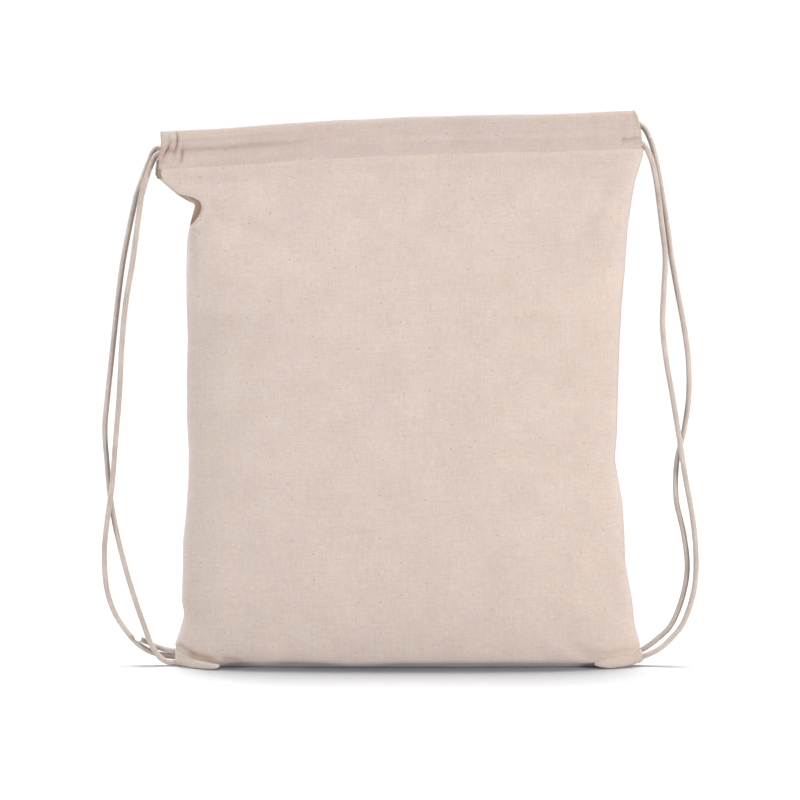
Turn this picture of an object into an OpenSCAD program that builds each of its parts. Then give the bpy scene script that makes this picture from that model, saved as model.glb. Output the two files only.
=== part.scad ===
// Drawstring backpack of unbleached cotton, filled and standing on its base.
// Origin: on the ground, under the middle of the bag. +X to the right, +Y to the back, +Z up.
// Two cords run through a front and a back casing, each turning round at the far end of the mouth.

/* [Bag] */
// Depth of the filled bag at its fullest level
bag_depth = 76; // [70:1:82]
// Flat depth of the base that the bag stands on
base_depth = 44; // [36:1:50]
// Thickness of the cloth walls
cloth_t = 1.5; // [1:0.1:2]

/* [Casing] */
// Length of the casing, from end to end
casing_len = 352; // [350:1:353]
// Height of the casing, from its stitch row to its top fold
casing_h = 28; // [27:0.5:29]
// Thickness of each casing, front to back
casing_t = 7; // [6.6:0.1:7.4]
// Gap of the mouth between the two casings
mouth_gap = 9; // [8:0.5:9]
// Length of the loose cuff at each end of a casing
cuff_len = 12; // [11:1:12]
// Travel of each end of the mouth when its cord is drawn
draw_travel = 60; // [40:5:60]

/* [Cord] */
// Diameter of the braided cord
cord_d = 4; // [3.6:0.1:4.1]
// Diameter of the sealed tip of the cord's tail
tip_d = 4.8; // [4.2:0.1:5]

/* [Hidden] */

cloth_color = [0.86, 0.80, 0.74];
seam_color = [0.78, 0.71, 0.64];
thread_color = [0.90, 0.87, 0.82];
cord_color = [0.80, 0.76, 0.71];

// The casing's own frame: its axis starts at casing_start and rises to the right by casing_rise degrees.
casing_start = [-178.5, 0, 385];
casing_rise = atan(16 / 352);
casing_y = mouth_gap / 2 + casing_t / 2;
casing_wall = 1;
cuff_t = casing_t - 0.6;
joint_gap = 0.3;

// Heights of each cord in its casing, above the casing's axis
left_front_up = -3;
left_back_up = 0;
right_front_up = -9.5;
right_back_up = 6.5;
// Where a cord's lead stops inside the casing, clear of the turn that is drawn towards it
turn_room = 3;
lead_stop = casing_len - cuff_len - draw_travel - turn_room;

// Corner tabs, and the bars of thread on their faces and on the cuffs
tab_t = 9;
tab_h = 15;
tack_t = 0.6;
tack_w = 1.2;
tab_tack_y = -(tab_t + tack_t) / 2;
cuff_tack_y = -casing_y - (cuff_t + tack_t) / 2;

// Levels of the bag from base to casing: [left x, left z, right x, right z, half depth]
half_depth = bag_depth / 2;
LEVELS = [
    [-158, 0.6, 169, 0.6, 0],
    [-158.5, 0, 169.5, 0, base_depth / 6],
    [-159, 0, 170, 0, base_depth / 2],
    [-160, 3, 171, 3, half_depth - 8],
    [-160.5, 15, 171.5, 15, half_depth - 3.5],
    [-164, 34, 174, 32, half_depth - 1.5],
    [-163, 60, 170.5, 66, half_depth - 0.5],
    [-160.5, 100, 167, 100, half_depth],
    [-158, 140, 162.5, 144, half_depth - 0.5],
    [-159.5, 190, 161.5, 190, half_depth - 2],
    [-159, 245, 163, 245, half_depth - 6],
    [-159.5, 292, 166.5, 295, half_depth - 12],
    [-156.5, 326, 169.5, 338, half_depth - 18],
    [-152, 345, 172, 360, half_depth - 22],
    [-165, 356, 175.5, 372, half_depth - 24.5],
    [-179.5, 370.3, 178, 386.3, mouth_gap / 2 + casing_t]
];
COLUMNS = 26;
// Powers of the bag's plump outline in plan
plan_p = 3;
plan_q = 1.7;

// Left strap, from below its leads to the corner tab
LEFT_FRONT_RUN = [
    [-193, -2.5, 348.6], [-195.6, -2.5, 328], [-199.5, -2.5, 300], [-204.5, -2.5, 271],
    [-207.5, -2.5, 240], [-209.5, -2.5, 204], [-212.5, -2.5, 169], [-215.5, -2.5, 134],
    [-219, -2.5, 110], [-221.5, -1.5, 84], [-219.8, 0.5, 57], [-214.5, 2, 40],
    [-206.5, 2.5, 27], [-197.5, 2.5, 16.5], [-187, 2.5, 10], [-173.2, 2.3, 7]
];
LEFT_BACK_RUN = [
    [-197.3, 2.5, 348.6], [-202, 2.5, 327], [-207, 2.5, 301], [-211, 2.5, 271],
    [-215, 2.5, 236], [-218.5, 2.5, 205], [-221, 2.5, 178], [-219.5, 2.5, 152],
    [-217, 2.5, 125], [-211.5, 1, 96], [-205, -1, 71], [-198.5, -2.5, 50],
    [-192, -2.5, 31], [-186, -2.5, 15], [-179.5, -2.5, 6.2], [-173.2, -2.3, 2.8]
];
// Right strap
RIGHT_FRONT_RUN = [
    [191.3, -2.5, 350.2], [193.5, -2.5, 332], [196.5, -2.5, 306], [195.5, -2.5, 280],
    [194.7, -2.5, 256], [197.5, -2.5, 230], [202.5, -2.5, 202], [208, -2.5, 169],
    [212.5, -2.5, 141], [217.5, -2.5, 114], [220.5, -2.5, 86], [219.4, -2.5, 58],
    [211, -2.5, 32], [202.8, -2.5, 21.5], [193.8, -2.5, 13.3], [184.5, -2.5, 8.5]
];
RIGHT_BACK_RUN = [
    [194.8, 2.5, 350.2], [198.6, 2.5, 327], [201.5, 2.5, 306], [206, 2.5, 281],
    [211, 2.5, 255], [214.5, 2.5, 230], [215, 2.5, 202], [211.5, 2.5, 176],
    [206.5, 2.5, 154], [206, 2.5, 126], [212, 2.5, 98], [214.6, 2.5, 72],
    [210, 2.5, 47.5], [201.7, 2.5, 29], [192.5, 2.5, 20], [184, 2.5, 13.5]
];
// Bends of the leads from the cuffs down to the straps
LEFT_FRONT_BEND = [[-180.8, -7.5, 381], [-184, -6.5, 375.5], [-187.7, -4.5, 366], [-192.7, -2.5, 350]];
LEFT_BACK_BEND = [
    [-181.5, 8, 386.8], [-184.6, 7.6, 384], [-187.2, 6.8, 377.5], [-191.4, 4.8, 366.5], [-197, 2.5, 350]
];
RIGHT_FRONT_BEND = [
    [177.5, -8, 390.3], [181.7, -7, 386], [185.6, -6, 377.5], [189.2, -3.5, 363], [191.2, -2.5, 351]
];
RIGHT_BACK_BEND = [
    [176.5, 8, 405.5], [181.5, 7.5, 401.5], [185.6, 6.5, 393.5], [189.7, 4.8, 379], [194.6, 2.5, 351]
];
// Tail of the left cord, loose above the corner tab, and its tip
TAIL = [
    [-173.2, 1, 11.5], [-178, 2, 12.5], [-184, 2.5, 14.5],
    [-189, 2.5, 17], [-193, 1, 19], [-195.5, -0.5, 20.5]
];
TIP = [[-196.1, -0.8, 20.9], [-198.8, -1.7, 22.2]];

CORD_SIDES = 8;

// A point in the casing's frame, given in the row frame
function casing_point(along, y, up) = casing_start
    + along * [cos(casing_rise), 0, sin(casing_rise)]
    + up * [-sin(casing_rise), 0, cos(casing_rise)]
    + [0, y, 0];

// Plump outline in plan: 0 at both side seams, 1 in the middle
function plump(u) = pow(1 - pow(abs(2 * u - 1), plan_p), 1 / plan_q);

// One point of a wall; inset moves it inwards from the outer face, side is -1 in front and 1 behind
function wall_point(level, column, inset, side) =
    let (
        u = 0.5 - 0.5 * cos(180 * column / COLUMNS),
        x_left = level[0] + inset,
        x_right = level[2] - inset,
        depth = max(level[4] - inset, 0),
        z = level[1] + (level[3] - level[1]) * u
    )
    [
        x_left + (x_right - x_left) * u,
        side * depth * (column == 0 || column == COLUMNS ? 0 : plump(u)),
        z < inset ? z + inset : z
    ];

function turned(faces, flip) = flip ? [for (f = faces) [f[0], f[2], f[1]]] : faces;

// A wall of the bag: an outer and an inner skin joined along the rim
module wall(side) {
    rows = len(LEVELS);
    row_len = COLUMNS + 1;
    skin = rows * row_len;
    outer = [for (level = LEVELS) for (c = [0:COLUMNS]) wall_point(level, c, 0, side)];
    inner = [for (level = LEVELS) for (c = [0:COLUMNS]) wall_point(level, c, cloth_t, side)];
    skins = [for (r = [0:rows - 2]) for (c = [0:COLUMNS - 1])
        let (a = r * row_len + c)
        each [
            [a, a + 1, a + row_len + 1],
            [a, a + row_len + 1, a + row_len],
            [skin + a, skin + a + row_len + 1, skin + a + 1],
            [skin + a, skin + a + row_len, skin + a + row_len + 1]
        ]];
    sides = [for (r = [0:rows - 2])
        let (a = r * row_len, b = a + COLUMNS)
        each [
            [a, a + row_len, skin + a + row_len], [a, skin + a + row_len, skin + a],
            [b, skin + b, skin + b + row_len], [b, skin + b + row_len, b + row_len]
        ]];
    ends = [for (c = [0:COLUMNS - 1])
        let (a = c, b = (rows - 1) * row_len + c)
        each [
            [a, skin + a, skin + a + 1], [a, skin + a + 1, a + 1],
            [b, b + 1, skin + b + 1], [b, skin + b + 1, skin + b]
        ]];
    polyhedron(concat(outer, inner), turned(concat(skins, sides, ends), side < 0));
}

// A tube of one diameter swept along a route
function unit(v) = v / norm(v);
function heading(route, i) = unit(route[min(i + 1, len(route) - 1)] - route[max(i - 1, 0)]);
function ring(route, i, r) =
    let (
        t = heading(route, i),
        across = unit(cross(t, [0, 1, 0])),
        beside = cross(across, t)
    )
    [for (k = [0:CORD_SIDES - 1])
        route[i] + r * cos(360 * k / CORD_SIDES) * across + r * sin(360 * k / CORD_SIDES) * beside];

module tube(route, d) {
    n = CORD_SIDES;
    last = (len(route) - 1) * n;
    points = [for (i = [0:len(route) - 1]) each ring(route, i, d / 2)];
    walls = [for (i = [0:len(route) - 2]) for (k = [0:n - 1])
        let (a = i * n + k, b = i * n + (k + 1) % n)
        each [[a, b, b + n], [a, b + n, a + n]]];
    caps = [[for (k = [n - 1:-1:0]) k], [for (k = [0:n - 1]) last + k]];
    polyhedron(points, concat(walls, caps));
}

module in_casing_frame() {
    translate(casing_start)
        rotate([0, -casing_rise, 0])
            children();
}

// A flat bar along the casing's axis, centred on side * casing_y
module casing_bar(side, from, to, t, h) {
    translate([from, side * casing_y - t / 2, -h / 2])
        cube([to - from, t, h]);
}

// Middle stretch of a casing: the hem tunnel
module casing(side) {
    in_casing_frame()
        difference() {
            casing_bar(side, cuff_len + joint_gap, casing_len - cuff_len - joint_gap, casing_t, casing_h);
            casing_bar(side, 0, casing_len, casing_t - 2 * casing_wall, casing_h - 2 * casing_wall);
        }
}

// End of a casing, open towards the other casing, so that a cord can turn round between them
module cuff(side, from) {
    in_casing_frame()
        difference() {
            casing_bar(side, from, from + cuff_len, cuff_t, casing_h);
            translate([0, -side * casing_wall, 0])
                casing_bar(side, from - 1, from + cuff_len + 1, cuff_t, casing_h - 2 * casing_wall);
        }
}

// Row of stitches on the outer face of a casing, near its lower edge
module hem_stitch(side) {
    stitch_len = 2.4;
    stitch_pitch = 4;
    stitch_d = 0.5;
    first = cuff_len + 2;
    count = floor((casing_len - 2 * first) / stitch_pitch);
    face_y = casing_y + casing_t / 2;
    stitch_y = side < 0 ? -face_y - stitch_d : face_y;
    above_edge = 1.2;
    in_casing_frame()
        for (i = [0:count])
            translate([first + i * stitch_pitch, stitch_y, above_edge - casing_h / 2])
                cube([stitch_len, stitch_d, stitch_d]);
}

// Overlocked seam allowance, inside the bag along one side; way is 1 on the left and -1 on the right
module side_seam(way) {
    seam_w = 7;
    seam_t = 1.2;
    edge = way > 0 ? 0 : 2;
    first_row = 4;
    last_row = 11;
    near = cloth_t + 0.4;
    far = near + seam_w;
    near_side = [for (r = [first_row:last_row]) [LEVELS[r][edge] + way * near, LEVELS[r][edge + 1]]];
    far_side = [for (r = [last_row:-1:first_row]) [LEVELS[r][edge] + way * far, LEVELS[r][edge + 1]]];
    translate([0, seam_t / 2, 0])
        rotate([90, 0, 0])
            linear_extrude(seam_t)
                polygon(concat(near_side, far_side));
}

// Folded loop of cloth at a bottom corner, which holds the ends of a cord
module corner_tab(x_outer, way) {
    tab_len = 7.5;
    fold_r = 3;
    translate([0, tab_t / 2, 0])
        rotate([90, 0, 0])
            linear_extrude(tab_t)
                polygon([
                    [x_outer, 0.2], [x_outer, tab_h - fold_r], [x_outer + way * fold_r, tab_h],
                    [x_outer + way * tab_len, tab_h - 2], [x_outer + way * tab_len, 0.2]
                ]);
}

// Short dense bar of thread
module bartack(at, size) {
    translate(at)
        cube(size, center = true);
}

// Cord from inside a casing, out of its end and down to the strap
module lead(side, up, from, end, bend) {
    inside = [casing_point(from, side * casing_y, up), casing_point(end, side * casing_y, up)];
    tube(concat(inside, bend), cord_d);
}

// Half loop of a cord between the two casings; way is 1 at the left end and -1 at the right end
module turn(front_up, back_up, along, way) {
    span = norm([2 * casing_y, back_up - front_up]);
    in_casing_frame()
        translate([along, 0, (front_up + back_up) / 2])
            rotate([atan2(back_up - front_up, 2 * casing_y), 0, 0])
                rotate([0, 0, way > 0 ? 90 : -90])
                    rotate_extrude(angle = 180)
                        translate([span / 2, 0])
                            circle(d = cord_d, $fn = 24);
}

module front_panel() { color(cloth_color) wall(-1); }
module back_panel() { color(cloth_color) wall(1); }
module left_side_seam() { color(seam_color) side_seam(1); }
module right_side_seam() { color(seam_color) side_seam(-1); }
module front_casing() { color(cloth_color) casing(-1); }
module back_casing() { color(cloth_color) casing(1); }
module front_hem_stitch() { color(thread_color) hem_stitch(-1); }
module back_hem_stitch() { color(thread_color) hem_stitch(1); }
module left_corner_tab() { color(cloth_color) corner_tab(-168.4, 1); }
module right_corner_tab() { color(cloth_color) corner_tab(179.5, -1); }
module left_tab_bartack() { color(thread_color) bartack([-164.6, tab_tack_y, 7.5], [tack_w, tack_t, 10]); }
module right_tab_bartack() { color(thread_color) bartack([175.8, tab_tack_y, 7.5], [tack_w, tack_t, 10]); }
module front_left_cuff() { color(cloth_color) cuff(-1, 0); }
module back_left_cuff() { color(cloth_color) cuff(1, 0); }
module front_right_cuff() { color(cloth_color) cuff(-1, casing_len - cuff_len); }
module back_right_cuff() { color(cloth_color) cuff(1, casing_len - cuff_len); }

module left_mouth_bartack() {
    color(seam_color)
        in_casing_frame()
            bartack([2, cuff_tack_y, -8], [tack_w, tack_t, 7]);
}

module right_mouth_bartack() {
    color(seam_color)
        in_casing_frame()
            bartack([casing_len - 6, cuff_tack_y, -5.8], [10, tack_t, tack_w]);
}

module left_cord_front_lead() { color(cord_color) lead(-1, left_front_up, lead_stop, 0, LEFT_FRONT_BEND); }
module left_cord_back_lead() { color(cord_color) lead(1, left_back_up, lead_stop, 0, LEFT_BACK_BEND); }

module right_cord_front_lead() {
    color(cord_color)
        lead(-1, right_front_up, casing_len - lead_stop, casing_len, RIGHT_FRONT_BEND);
}

module right_cord_back_lead() {
    color(cord_color)
        lead(1, right_back_up, casing_len - lead_stop, casing_len, RIGHT_BACK_BEND);
}

module left_cord_turn() { color(cord_color) turn(left_front_up, left_back_up, casing_len - cuff_len, -1); }
module right_cord_turn() { color(cord_color) turn(right_front_up, right_back_up, cuff_len + 2, 1); }
module left_strap_front_run() { color(cord_color) tube(LEFT_FRONT_RUN, cord_d); }
module left_strap_back_run() { color(cord_color) tube(LEFT_BACK_RUN, cord_d); }
module right_strap_front_run() { color(cord_color) tube(RIGHT_FRONT_RUN, cord_d); }
module right_strap_back_run() { color(cord_color) tube(RIGHT_BACK_RUN, cord_d); }
module left_cord_tail() { color(cord_color) tube(TAIL, cord_d); }
module left_cord_tip() { color(thread_color) tube(TIP, tip_d); }

front_panel();
back_panel();
left_side_seam();
right_side_seam();
front_casing();
back_casing();
front_hem_stitch();
back_hem_stitch();
left_corner_tab();
right_corner_tab();
left_tab_bartack();
right_tab_bartack();
front_left_cuff();
back_left_cuff();
front_right_cuff();
back_right_cuff();
left_mouth_bartack();
right_mouth_bartack();
left_cord_front_lead();
left_cord_back_lead();
right_cord_front_lead();
right_cord_back_lead();
left_cord_turn();
right_cord_turn();
left_strap_front_run();
left_strap_back_run();
right_strap_front_run();
right_strap_back_run();
left_cord_tail();
left_cord_tip();
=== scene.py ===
"""A cotton drawstring backpack, filled and standing: cloth walls, a cased mouth and braided cords."""

import math

import bpy
import numpy as np
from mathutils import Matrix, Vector


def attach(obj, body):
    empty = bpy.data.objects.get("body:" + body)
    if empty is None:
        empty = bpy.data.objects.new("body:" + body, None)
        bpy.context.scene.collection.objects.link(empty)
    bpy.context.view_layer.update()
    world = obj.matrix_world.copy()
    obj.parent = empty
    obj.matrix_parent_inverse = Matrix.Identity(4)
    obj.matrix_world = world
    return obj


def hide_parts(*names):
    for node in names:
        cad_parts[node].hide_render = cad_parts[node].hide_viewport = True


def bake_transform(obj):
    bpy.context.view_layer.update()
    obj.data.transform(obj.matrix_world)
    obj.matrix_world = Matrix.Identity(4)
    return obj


MM = 0.001

# Casings: tunnels of cloth along the mouth, front and back, rising a little to the right
CASING_START = (-178.5, 0.0, 385.0)
CASING_RISE = math.atan(16 / 352)
CASING_LEN = 352.0
CASING_Y = 8.0
CASING_HALF_H = 14.0
# How far the casings' lower edge stands out from their middle plane
HEM_REACH = 3.1

# Where the leads of the cords stop inside the casings, so that the turns have room to travel
LEAD_STOP = 277.0
RIGHT_LEAD_STOP = CASING_LEN - LEAD_STOP + 2.5
# Heights of the cords over the casings' middle line, and where they turn round along it
LEFT_FRONT_UP = -3.0
LEFT_BACK_UP = 0.0
RIGHT_FRONT_UP = -9.5
RIGHT_BACK_UP = 6.5
LEFT_TURN_ALONG = 340.0
RIGHT_TURN_ALONG = 14.0

# Cloth: its thickness, its weave, the pressed crease down the middle, and where the back and the casings lie
# in the flat coordinates, so that no two share their flecks
CLOTH_T = 0.8
WEAVE_PITCH = 0.84
CREASE_X = 7.0
CASING_MIDDLE = (CREASE_X - CASING_START[0]) / math.cos(CASING_RISE)
BACK_CLOTH_OFFSET = 0.6
CASING_CLOTH_OFFSET = 0.45

# Cord: eight strands, each crossing another every STRAND_STEP millimetres
CORD_D = 4.0
TIP_D = 4.8
STRANDS = 8
STRAND_STEP = 1.9
BRAID_HEIGHT = 0.36

# Rows of the walls from the middle of the base to the hem stitches: left z, right z, half depth
ROWS = [
    (0.6, 0.6, 0), (0.3, 0.3, 7.3), (0.1, 0.1, 15), (0, 0, 22), (0.3, 0.3, 27.5), (2.2, 2.2, 31.4),
    (6, 6, 33), (15, 15, 34.5), (34, 32, 36.5), (60, 64, 37.5), (100, 102, 38), (140, 144, 37.5),
    (190, 193, 36), (245, 250, 32), (292, 300, 26), (326, 338, 20), (345, 360, 16), (356, 372, 13.5),
    (371, 387, 11.5),
]

# Outlines of the bag's sides: x, z
LEFT_SIDE = [
    (-158, 0), (-160.5, 3), (-164.5, 8), (-168.0, 13), (-169.3, 16.5), (-167.4, 22), (-165.4, 28),
    (-163.4, 33.5), (-162.2, 40), (-164.0, 50), (-163.2, 72), (-162.8, 95), (-160.4, 117), (-158.8, 140),
    (-158.4, 161), (-159.5, 187), (-159.5, 218), (-158.6, 248), (-159.5, 278), (-159.5, 294), (-158.6, 319),
    (-156.5, 330), (-154.4, 338), (-152.9, 343), (-153.2, 345.2), (-157, 346.6), (-166, 352.0),
    (-174.6, 359.4), (-179.4, 364.2), (-180.8, 368), (-180.2, 372), (-178.8, 377),
]
RIGHT_SIDE = [
    (169, 0), (172, 3), (175.5, 8), (179.2, 13), (179.6, 17), (177.4, 24), (175.2, 32), (173.4, 50),
    (170, 68), (168.0, 79), (167.4, 99), (165.8, 123), (162, 144), (160, 155), (161.5, 176), (162, 202),
    (163, 240), (164.5, 271), (166.5, 294), (168.5, 327), (172, 351), (173.8, 362), (177.3, 374),
    (179.4, 381), (179.6, 392),
]
# How far the base edge stands off the ground along x
BASE_LIFT = [
    (-168, 0), (-141, 1.6), (-130, 4.2), (-120, 5.4), (-102, 4.8), (-86, 6.0), (-64, 5.8), (-38, 4.2),
    (0, 5.4), (75, 5.6), (128, 4.8), (146, 4.0), (156, 1.0), (175, 0),
]

# How far the mouth's edge rises above a straight line, against x
MOUTH_ARCH = [
    (-180, -0.3), (-140, -0.4), (-112, 0.3), (-85, 1.1), (-45, 1.6), (10, 1.6), (45, 1.0), (85, 0.1),
    (105, -0.8), (155, -1.1), (175, -1.4),
]

# Routes of the cords' runs between the mouth and the corner tabs
LEFT_FRONT_RUN = [
    (-192.4, -2.6, 350.9), (-195.6, -2.5, 328), (-199.5, -2.5, 300), (-204.5, -2.5, 271),
    (-207.5, -2.5, 240), (-209.5, -2.5, 204), (-212.5, -2.5, 169), (-215.5, -2.5, 134), (-219, -2.5, 110),
    (-221.5, -1.5, 84), (-219.8, 0.5, 57), (-214.5, 2, 40), (-206.5, 2.5, 27), (-197.5, 2.5, 16.5),
    (-187, 2.5, 10), (-173.2, 2.3, 7), (-166.5, 2.0, 6.4),
]
LEFT_BACK_RUN = [
    (-196.7, 2.6, 350.9), (-202, 2.5, 327), (-207, 2.5, 301), (-211, 2.5, 271), (-215, 2.5, 236),
    (-218.5, 2.5, 205), (-221, 2.5, 178), (-219.5, 2.5, 152), (-217, 2.5, 125), (-211.5, 1, 96),
    (-205, -1, 71), (-198.5, -2.5, 50), (-192, -2.5, 31), (-186, -2.5, 15), (-179.5, -2.5, 6.2),
    (-173.2, -2.3, 3.0), (-166.5, -2.0, 2.9),
]
RIGHT_FRONT_RUN = [
    (191.05, -2.6, 351.9), (193.5, -2.5, 332), (196.5, -2.5, 306), (195.5, -2.5, 280), (194.7, -2.5, 256),
    (197.5, -2.5, 230), (202.5, -2.5, 202), (208, -2.5, 169), (212.5, -2.5, 141), (217.5, -2.5, 114),
    (220.5, -2.5, 86), (219.4, -2.5, 58), (211, -2.5, 32), (202.8, -2.5, 21.5), (193.8, -2.5, 13.3),
    (184.5, -2.5, 8.5), (177.5, -2.2, 6.2),
]
RIGHT_BACK_RUN = [
    (194.45, 2.6, 351.9), (198.6, 2.5, 327), (201.5, 2.5, 306), (206, 2.5, 281), (211, 2.5, 255),
    (214.5, 2.5, 230), (215, 2.5, 202), (211.5, 2.5, 176), (206.5, 2.5, 154), (206, 2.5, 126),
    (212, 2.5, 98), (214.6, 2.5, 72), (210, 2.5, 47.5), (201.7, 2.5, 29), (192.5, 2.5, 20),
    (184, 2.5, 13.5), (177, 2.2, 9.5),
]
# How the leads bend from the casings' ends to the runs
LEFT_FRONT_BEND = [
    (-180.8, -7.5, 381), (-184, -6.5, 375.5), (-187.7, -4.5, 366), (-192.7, -2.5, 350),
]
LEFT_BACK_BEND = [
    (-181.5, 8, 386.8), (-184.6, 7.6, 384), (-187.2, 6.8, 377.5), (-191.4, 4.8, 366.5), (-197, 2.5, 350),
]
RIGHT_FRONT_BEND = [
    (177.5, -8, 390.3), (181.7, -7, 386), (185.6, -6, 377.5), (189.2, -3.5, 363), (191.2, -2.5, 351),
]
RIGHT_BACK_BEND = [
    (176.5, 8, 405.5), (181.5, 7.5, 401.5), (185.6, 6.5, 393.5), (189.7, 4.8, 379), (194.6, 2.5, 351),
]
# The loose end of the left cord over its tab, and its sealed tip
TAIL = [
    (-163.5, 0.4, 10.6), (-168, 0.6, 10.8), (-173.2, 1, 11.5), (-178, 2, 12.5), (-184, 2.5, 14.5),
    (-189, 2.5, 17), (-193, 1, 19), (-195.5, -0.5, 20.5),
]
TIP = [(-195.2, -0.3, 20.3), (-196.1, -0.8, 20.9), (-198.8, -1.7, 22.2)]


# ---------- points and curves ----------

def along_table(table, x):
    """The second number of the table's rows at x, the first."""
    return np.interp(x, [p[0] for p in table], [p[1] for p in table])


def casing_point(along, y, up):
    """A point given along, across and up the casings, in the frame of the bag."""
    c, s = math.cos(CASING_RISE), math.sin(CASING_RISE)
    x, _, z = CASING_START
    return np.array([x + along * c - up * s, y, z + along * s + up * c])


def ease(t):
    """Smooth step from 0 to 1."""
    t = np.clip(t, 0, 1)
    return t * t * (3 - 2 * t)


def between(value, start, end):
    """Smooth step of value from 0 at start to 1 at end."""
    return ease((value - start) / (end - start))


def hump(value, middle, width):
    """Bell of height 1 round middle."""
    return np.exp(-(((value - middle) / width) ** 2))


def smooth_noise(a, b, seed):
    """Smooth noise from -1 to 1 at the points (a, b), one lattice cell to a unit."""
    size = 64
    lattice = np.random.default_rng(seed).uniform(-1, 1, (size, size))
    ia, ib = np.floor(a).astype(int), np.floor(b).astype(int)
    fa, fb = ease(a - ia), ease(b - ib)
    low = lattice[ia % size, ib % size] * (1 - fa) + lattice[(ia + 1) % size, ib % size] * fa
    high = lattice[ia % size, (ib + 1) % size] * (1 - fa) + lattice[(ia + 1) % size, (ib + 1) % size] * fa
    return low * (1 - fb) + high * fb


def run_along(points):
    """How far along the route each of its points lies."""
    return np.concatenate([[0], np.cumsum(np.linalg.norm(np.diff(points, axis=0), axis=1))])


def resampled(points, run, even):
    """Points at the even distances along a route whose own points lie at the distances run."""
    return np.stack([np.interp(even, run, points[:, k]) for k in range(points.shape[1])], axis=1)


def spline(points, spacing):
    """Points at about the given spacing on the smooth curve through the route."""
    steps = 24
    p = np.array(points, float)
    p = np.vstack([2 * p[0] - p[1], p, 2 * p[-1] - p[-2]])
    knots = np.concatenate([[0], np.cumsum(np.sqrt(np.linalg.norm(np.diff(p, axis=0), axis=1)))])
    out = []
    for i in range(1, len(p) - 2):
        t = np.linspace(knots[i], knots[i + 1], steps, endpoint=False)[:, None]
        k0, k1, k2, k3 = knots[i - 1:i + 3]
        a1 = (k1 - t) / (k1 - k0) * p[i - 1] + (t - k0) / (k1 - k0) * p[i]
        a2 = (k2 - t) / (k2 - k1) * p[i] + (t - k1) / (k2 - k1) * p[i + 1]
        a3 = (k3 - t) / (k3 - k2) * p[i + 1] + (t - k2) / (k3 - k2) * p[i + 2]
        b1 = (k2 - t) / (k2 - k0) * a1 + (t - k0) / (k2 - k0) * a2
        b2 = (k3 - t) / (k3 - k1) * a2 + (t - k1) / (k3 - k1) * a3
        out.append((k2 - t) / (k2 - k1) * b1 + (t - k1) / (k2 - k1) * b2)
    curve = np.vstack(out + [p[-2]])
    run = run_along(curve)
    return resampled(curve, run, np.linspace(0, run[-1], max(2, int(round(run[-1] / spacing)) + 1)))


def softened(outline, z, reach):
    """The outline's x at z, with its corners rounded over the reach."""
    xs, zs = zip(*outline)
    return np.mean([np.interp(z + d, zs, xs) for d in np.linspace(-1, 1, 7) * reach], axis=0)


# ---------- meshes ----------

def make_object(name, verts, faces, smooth, material, uv=None, shade=None, rim=None):
    """Mesh object from points in millimetres. smooth says which faces are smooth; uv has each vertex's pair,
    shade how much painted shade it gets in folds and at edges, from 0 to 1, and rim the number of its sharp
    rim, or 0."""
    mesh = bpy.data.meshes.new(name)
    mesh.from_pydata((np.asarray(verts) * MM).tolist(), [], [list(f) for f in faces])
    mesh.polygons.foreach_set("use_smooth", np.asarray(smooth, bool))
    if rim is not None:
        ends = np.empty(len(mesh.edges) * 2, np.int32)
        mesh.edges.foreach_get("vertices", ends)
        first, second = rim[ends[::2]], rim[ends[1::2]]
        mesh.edges.foreach_set("use_edge_sharp", (first > 0) & (first == second))
    if uv is not None:
        layer = mesh.uv_layers.new(name="cloth")
        corners = np.empty(len(mesh.loops), np.int32)
        mesh.loops.foreach_get("vertex_index", corners)
        layer.data.foreach_set("uv", np.asarray(uv, np.float32)[corners].ravel())
    if shade is not None:
        # Painted shade, stored as the fold attribute that the cloth material reads
        mesh.attributes.new("fold", "FLOAT", "POINT").data.foreach_set("value", np.asarray(shade, np.float32))
    mesh.materials.append(material)
    mesh.update()
    obj = add_to_scene(name, mesh)
    return obj


def grid_normals(grid):
    """Unit normals of a grid of points."""
    n = np.cross(np.gradient(grid, axis=1), np.gradient(grid, axis=0))
    return n / np.maximum(np.linalg.norm(n, axis=2, keepdims=True), 1e-9)


def sheet_mesh(name, grid, uv, thickness, outward, material, shade=None):
    """A closed sheet of cloth from a grid of outer points; outward is 1 where du x dv points out, else -1."""
    rows, cols = grid.shape[:2]
    inner = grid - outward * thickness * grid_normals(grid)
    verts = np.concatenate([grid.reshape(-1, 3), inner.reshape(-1, 3)])
    index = np.arange(rows * cols).reshape(rows, cols)
    a, b, c, d = index[:-1, :-1], index[:-1, 1:], index[1:, 1:], index[1:, :-1]
    outer_faces = np.stack([a, b, c, d], -1).reshape(-1, 4)
    inner_faces = outer_faces[:, ::-1] + rows * cols
    edge = np.concatenate([index[0, :], index[1:, -1], index[-1, -2::-1], index[-2:0:-1, 0]])
    after = np.roll(edge, -1)
    rim_faces = np.stack([after, edge, edge + rows * cols, after + rows * cols], -1)
    rim = np.zeros(2 * rows * cols, int)
    rim[edge] = 1
    rim[edge + rows * cols] = 2
    faces = np.concatenate([outer_faces, inner_faces, rim_faces])
    if outward < 0:
        faces = faces[:, ::-1]
    smooth = np.ones(len(faces), bool)
    smooth[len(outer_faces) * 2:] = False
    both_uv = np.tile(uv.reshape(-1, 2), (2, 1))
    if shade is not None:
        shade = np.tile(np.broadcast_to(shade, (rows, cols)).ravel(), 2)
    return make_object(name, verts, faces, smooth, material, both_uv, shade, rim)


def unit_tangents(path):
    tangent = np.gradient(path, axis=0)
    return tangent / np.linalg.norm(tangent, axis=1, keepdims=True)


def rings_round(path, normal, side, radius, angle):
    """Rings of points round a path; radius is an array of rings by points, or of rings by one."""
    return path[:, None] + radius[:, :, None] * (
        np.cos(angle)[None, :, None] * normal[:, None] + np.sin(angle)[None, :, None] * side[:, None]
    )


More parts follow.
